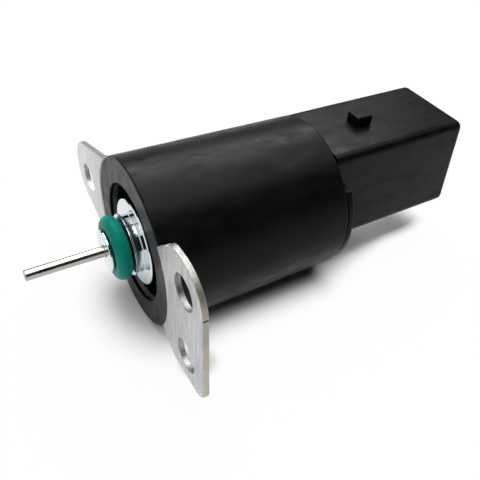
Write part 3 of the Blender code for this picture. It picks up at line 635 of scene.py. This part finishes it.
def build_nose():
    """The turned nose with its ring, the fill round it, the bush and the pin."""
    turned("nose_turning", [
        (NOSE_FRONT, PIN_R + GAP, 0.12), (NOSE_FRONT, NOSE_LIP_R, 0.22),
        (GROOVE_FRONT, NOSE_LIP_R, 0.1), (GROOVE_FRONT, GROOVE_FLOOR_R, 0.15),
        (GROOVE_BACK, GROOVE_FLOOR_R, 0.15), (GROOVE_BACK, GROOVE_LIP_R, 0.08),
        (GROOVE_BACK + GROOVE_LIP_T, GROOVE_LIP_R, 0.08),
        (GROOVE_BACK + GROOVE_LIP_T, BOSS_R, 0.05),
        (DISK_X, BOSS_R, 0.2), (DISK_X, DISK_R, 0.4), (PLATE_BACK, DISK_R, 0.1),
        (PLATE_BACK, ARMATURE_R, 0.1), (NOSE_END, ARMATURE_R, 0.1), (NOSE_END, BUSH_SEAT_R, 0.1),
        (CAP_BACK, BUSH_SEAT_R, 0.0), (CAP_BACK, PIN_R + GAP, 0.0),
    ], "bright_zinc", ["pole_nose"], segments=160)
    angles = [2 * math.pi * i / 32 for i in range(32)]
    section = [(RING_X - RING_WIRE_R * math.cos(a), RING_MEAN_R + RING_WIRE_R * math.sin(a))
               for a in angles]
    finish_mesh("sealing_ring", revolve_mesh(section, 128), "green_rubber", ["o_ring"])
    turned("potting_fill",
           tube(PLATE_BACK - POTTING_T, PLATE_BACK, DISK_R + GAP, RECESS_R - GAP, 0.1),
           "black_epoxy", ["front_potting"])
    turned("bush_sleeve", tube(CAP_BACK + GAP, NOSE_END - GAP, PIN_R + GAP, BUSH_SEAT_R - GAP),
           "bronze", ["guide_bush"], segments=64)
    turned("pin_rod", [
        (PIN_TIP, 0.0, 0.0), (PIN_TIP, PIN_R, 0.35), (CLIP_GROOVE_X, PIN_R, 0.0),
        (CLIP_GROOVE_X, CLIP_GROOVE_R, 0.0), (CLIP_GROOVE_END, CLIP_GROOVE_R, 0.0),
        (CLIP_GROOVE_END, PIN_R, 0.0), (PIN_END, PIN_R, 0.1), (PIN_END, 0.0, 0.0),
    ], "stainless", ["stop_pin"], PLUNGER, segments=64)


def build_spring():
    """Coil spring with closed end turns."""
    per_turn, sides = 40, 12
    low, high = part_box("return_spring")
    x0, x1 = low.x / MM + SPRING_WIRE_R, high.x / MM - SPRING_WIRE_R
    end_rise = 2 * SPRING_WIRE_R + SPRING_END_GAP
    rings = []
    for i in range(SPRING_TURNS * per_turn + 1):
        t = i / per_turn
        if t <= 1.0:
            x = x0 + end_rise * t
        elif t >= SPRING_TURNS - 1.0:
            x = x1 - end_rise * (SPRING_TURNS - t)
        else:
            x = x0 + end_rise + (x1 - x0 - 2 * end_rise) * (t - 1.0) / (SPRING_TURNS - 2.0)
        a = 2 * math.pi * t
        ring = []
        for k in range(sides):
            b = 2 * math.pi * k / sides
            r = SPRING_MEAN_R + SPRING_WIRE_R * math.cos(b)
            ring.append((x + SPRING_WIRE_R * math.sin(b), r * math.cos(a), r * math.sin(a)))
        rings.append(ring)
    spring = finish_mesh("coil_spring", loft_mesh(rings), "plain_steel", ["return_spring"])
    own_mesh(spring)


# ---- connector

def box_outline(inset):
    top_r = max(TOP_EDGE_R - inset, SHARPEST_R)
    low_r = max(LOW_EDGE_R - inset, SHARPEST_R)
    w, top, low = BOX_HALF_W - inset, BOX_TOP - inset, BOX_LOW + inset
    pts = arc(w - top_r, top - top_r, top_r, 0.0, QUARTER, 9)
    pts += arc(top_r - w, top - top_r, top_r, QUARTER, 2 * QUARTER, 9)
    pts += arc(low_r - w, low + low_r, low_r, 2 * QUARTER, 3 * QUARTER, 13)
    pts += arc(w - low_r, low + low_r, low_r, 3 * QUARTER, 4 * QUARTER, 13)
    return pts


def build_latch():
    """Small block with softened edges and a nearly level top."""
    end = LATCH_X + LATCH_L
    base = [(LATCH_X, -LATCH_HALF_W, LATCH_H), (end, -LATCH_HALF_W, LATCH_TIP_H),
            (end, LATCH_HALF_W, LATCH_TIP_H), (LATCH_X, LATCH_HALF_W, LATCH_H)]
    bm = loft_mesh([[(x, y, BOX_TOP - 0.5) for x, y, h in base],
                    [(x, y, BOX_TOP + h) for x, y, h in base]])
    top_edges = [e for e in bm.edges if max(v.co.z for v in e.verts) > (BOX_TOP + 0.2) * MM]
    bmesh.ops.bevel(bm, geom=top_edges, offset=LATCH_EDGE * MM, segments=3, affect="EDGES",
                    profile=0.5)
    return plain_object("add_latch", bm)


def build_connector():
    """Plug box with its latch, and the collar that closes the rear of the body."""
    rim, inner = MOUTH_RIM_R, MOUTH_INNER_R
    sections = [(BOX_X, 0.0, 0.0), (SOCKET_FLOOR, BOX_DRAFT / 2, 0.0)]
    sections += [(BOX_END - rim * (1 - math.sin(a)), BOX_DRAFT + rim * (1 - math.cos(a)), BOX_LEAN)
                 for a in quarter_turn(8)]
    sections += [(BOX_END - inner * (1 - math.cos(a)), MOUTH_WALL - inner * (1 - math.sin(a)),
                  BOX_LEAN) for a in quarter_turn(8)]
    sections += [(SOCKET_FLOOR, MOUTH_WALL + SOCKET_DRAFT, 0.0)]
    rings = [[(x - lean * (z - BLADE_Z), y, z) for y, z in box_outline(inset)]
             for x, inset, lean in sections]
    box = plain_object("plug_housing", loft_mesh(rings))

    collar_end = BOX_X + COLLAR_T
    profile = rounded([(BOX_X, 0.0, 0.0), (BOX_X, COLLAR_R, 0.45),
                       (collar_end, COLLAR_R, 0.3), (collar_end, 0.0, 0.0)], 5)
    collar = plain_object("add_collar", revolve_mesh(profile, 192))
    above = prism_object("cut_collar", rectangle(-40.0, 40.0, COLLAR_TOP, 40.0), BOX_X - 1,
                         collar_end + 1)
    combine(collar, above, "DIFFERENCE")
    combine(box, collar, "UNION")
    combine(box, build_latch(), "UNION")

    pocket = prism_object("cut_pocket", rectangle(*POCKET), BOX_X - 1, BOX_X + POCKET_DEPTH)
    combine(box, pocket, "DIFFERENCE")
    for y in (-BLADE_Y, BLADE_Y):
        w, h = BLADE_T / 2 + GAP, BLADE_W / 2 + GAP
        slot = prism_object("cut_blade", rectangle(y - w, y + w, BLADE_Z - h, BLADE_Z + h),
                            BOX_X - 2, SOCKET_FLOOR + 2)
        combine(box, slot, "DIFFERENCE")
    dress(box, "black_moulding", ["connector_housing"], sharp=35.0)


def build_blades():
    """Flat blades with a thinned, narrowed tip."""
    for name, node, y in (("blade_left", "terminal_blade_a", -BLADE_Y),
                          ("blade_right", "terminal_blade_b", BLADE_Y)):
        low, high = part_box(node)
        x0, x1 = low.x / MM, high.x / MM
        sections = [(x0, BLADE_W, BLADE_T)]
        sections += [(x1 - back, BLADE_W - cut, BLADE_T * share) for back, cut, share in BLADE_TIP]
        rings = []
        for x, w, t in sections:
            e = 0.1 * t
            ring = []
            for cy, cz in ((1, 1), (-1, 1), (-1, -1), (1, -1)):
                a0 = math.atan2(cz, cy) - math.pi / 4
                ring += arc(y + cy * (t / 2 - e), BLADE_Z + cz * (w / 2 - e), e, a0,
                            a0 + QUARTER, 4)
            rings.append([(x, py, pz) for py, pz in ring])
        finish_mesh(name, loft_mesh(rings), "tinned_brass", [node])


build_flange()
build_body()
build_nose()
build_spring()
build_connector()
build_blades()


# ---- floor, light and camera

def table_look():
    """White table: the part's shade shows in a strip under it, a painted glow outside."""
    mat, tree, shader = new_material("table_look")
    shader.inputs["Base Color"].default_value = TABLE_COLOUR
    shader.inputs["Roughness"].default_value = 0.9
    shader.inputs["Specular IOR Level"].default_value = 0.0
    place = object_place(tree)
    x, y, _ = split_xyz(tree, place)
    past = maths(tree, "MAXIMUM", maths(tree, "SUBTRACT", STRIP_START, x),
                 maths(tree, "SUBTRACT", x, STRIP_END))
    narrow = spread(tree, x, 1.0, STRIP_TAPER, *STRIP_TAPER_X)
    aside = product(tree, maths(tree, "SUBTRACT", y, STRIP_MIDDLE), narrow)
    apart = add_node(tree, "ShaderNodeCombineXYZ", {0: maths(tree, "MAXIMUM", past, 0.0),
                                                    1: aside})
    outside = spread(tree, length_of(tree, apart.outputs[0]), 0.0, OUTSIDE_WHITE,
                     spread(tree, x, *FULL_SHADE_R, *NOSE_SIDE_X),
                     spread(tree, x, *NO_SHADE_R, *NOSE_SIDE_X), "SMOOTHSTEP")
    from_ear = add_node(tree, "ShaderNodeVectorMath", {0: place, 1: EAR_SPOT},
                        operation="DISTANCE")
    off_ear = spread(tree, from_ear.outputs["Value"], EAR_SPOT_WHITE, 1.0, *EAR_SPOT_R,
                     "SMOOTHSTEP")
    # painted light: the table glows white for the camera and mirrors outside the strip, weaker
    # round the ear's low corner
    painted_glow = maths(tree, "MAXIMUM", product(tree, off_ear, outside),
                spread(tree, x, 0.0, FAINT_WHITE, *FAINT_REAR_X))
    painted_glow = maths(tree, "MAXIMUM", painted_glow, spread(tree, x, FAINT_WHITE, 0.0, *FAINT_FRONT_X))
    white = add_node(tree, "ShaderNodeEmission", {"Color": (1, 1, 1, 1), "Strength": WHITE})
    both = add_node(tree, "ShaderNodeMixShader", {
        0: product(tree, seen_directly(tree), painted_glow), 1: shader.outputs[0], 2: white.outputs[0]})
    tree.links.new(both.outputs[0], tree.nodes["Material Output"].inputs["Surface"])
    return mat


def build_floor():
    up = Vector(TABLE_NORMAL).normalized()
    bm = bmesh.new()
    bmesh.ops.create_circle(bm, cap_ends=True, segments=96, radius=TABLE_R)
    mesh = bpy.data.meshes.new("table_top")
    bm.to_mesh(mesh)
    bm.free()
    mesh.materials.append(table_look())
    floor = bpy.data.objects.new("table_top", mesh)
    bpy.context.scene.collection.objects.link(floor)
    floor.rotation_mode = "QUATERNION"
    floor.rotation_quaternion = Vector((0.0, 0.0, 1.0)).rotation_difference(up)
    floor.location = up * (-(FACE_R + TABLE_CLEAR) * MM)


def build_world():
    """Soft fill from the room; the camera and mirrors see it as the white of a studio wall."""
    world = bpy.data.worlds.new("studio")
    bpy.context.scene.world = world
    world.use_nodes = True
    tree = world.node_tree
    tree.nodes.clear()
    soft = add_node(tree, "ShaderNodeBackground", {"Color": (1, 1, 1, 1), "Strength": FILL})
    white = add_node(tree, "ShaderNodeBackground", {"Color": (1, 1, 1, 1), "Strength": WHITE})
    mix = add_node(tree, "ShaderNodeMixShader", {0: seen_directly(tree), 1: soft.outputs[0],
                                                 2: white.outputs[0]})
    out = add_node(tree, "ShaderNodeOutputWorld", {"Surface": mix.outputs[0]})
    out.is_active_output = True


def black_card(name, low, high):
    """Studio card between two opposite corners. It keeps stray light off, outside the picture."""
    (x0, y0, z0), (x1, y1, z1) = low, high
    if z0 == z1:
        corners = [(x0, y0, z0), (x1, y0, z0), (x1, y1, z0), (x0, y1, z0)]
    else:
        corners = [(x0, y0, z0), (x1, y1, z0), (x1, y1, z1), (x0, y0, z1)]
    mesh = bpy.data.meshes.new(name)
    mesh.from_pydata(corners, [], [(0, 1, 2, 3)])
    card = bpy.data.objects.new(name, mesh)
    bpy.context.scene.collection.objects.link(card)
    mat, _, shader = new_material(name + "_look")
    shader.inputs["Base Color"].default_value = CARD_BLACK
    shader.inputs["Roughness"].default_value = 1.0
    shader.inputs["Specular IOR Level"].default_value = 0.0
    mesh.materials.append(mat)
    card.visible_camera = False


def area_light(name, place, target, size_x, size_y, radiance):
    data = bpy.data.lights.new(name, "AREA")
    data.shape = "RECTANGLE"
    data.size, data.size_y = size_x, size_y
    data.energy = radiance * math.pi * size_x * size_y
    lamp = bpy.data.objects.new(name, data)
    bpy.context.scene.collection.objects.link(lamp)
    lamp.location = place
    lamp.rotation_mode = "QUATERNION"
    lamp.rotation_quaternion = (Vector(target) - Vector(place)).to_track_quat("-Z", "Y")


def build_camera():
    data = bpy.data.cameras.new("photo_view")
    data.lens = CAMERA_LENS
    data.sensor_width = 36.0
    data.clip_start, data.clip_end = 0.005, 10.0
    camera = bpy.data.objects.new("photo_view", data)
    bpy.context.scene.collection.objects.link(camera)
    right = Vector(CAMERA_RIGHT).normalized()
    up = Vector(CAMERA_UP)
    up = (up - right * up.dot(right)).normalized()
    back = right.cross(up)
    turn = Matrix((right, up, back)).transposed()
    camera.matrix_world = Matrix.Translation(CAMERA_PLACE) @ turn.to_4x4()
    bpy.context.scene.camera = camera


build_floor()
build_world()
area_light("top_panel", (0.15, -0.044, 0.45), (0.15, -0.044, 0.0), 0.54, 0.24, 4.1)
area_light("rear_panel", (0.18, 0.28, 0.39), (0.04, 0.0, 0.0), 0.38, 0.34, 6.6)
for card_name, card_low, card_high in (
        ("front_card", (ROOM_LEFT, ROOM_FRONT, ROOM_FLOOR), (ROOM_RIGHT, ROOM_FRONT, ROOM_TOP)),
        ("top_card", (CARD_START, ROOM_FRONT, ROOM_TOP), (ROOM_RIGHT, ROOM_REAR, ROOM_TOP)),
        ("top_strip", (ROOM_LEFT, 0.22, ROOM_TOP), (CARD_START, 0.29, ROOM_TOP)),
        ("rear_strip", (ROOM_LEFT, ROOM_REAR, 0.50), (CARD_START, ROOM_REAR, 0.56)),
        ("rear_bar", (ROOM_LEFT, ROOM_REAR, 0.06), (ROOM_RIGHT, ROOM_REAR, 0.38)),
        ("side_card", (ROOM_RIGHT, ROOM_FRONT, ROOM_FLOOR), (ROOM_RIGHT, ROOM_REAR, ROOM_TOP)),
        ("corner_card", (0.42, ROOM_REAR, ROOM_FLOOR), (ROOM_RIGHT, ROOM_REAR, ROOM_TOP))):
    black_card(card_name, card_low, card_high)
build_camera()

bpy.context.scene.view_settings.view_transform = "Standard"
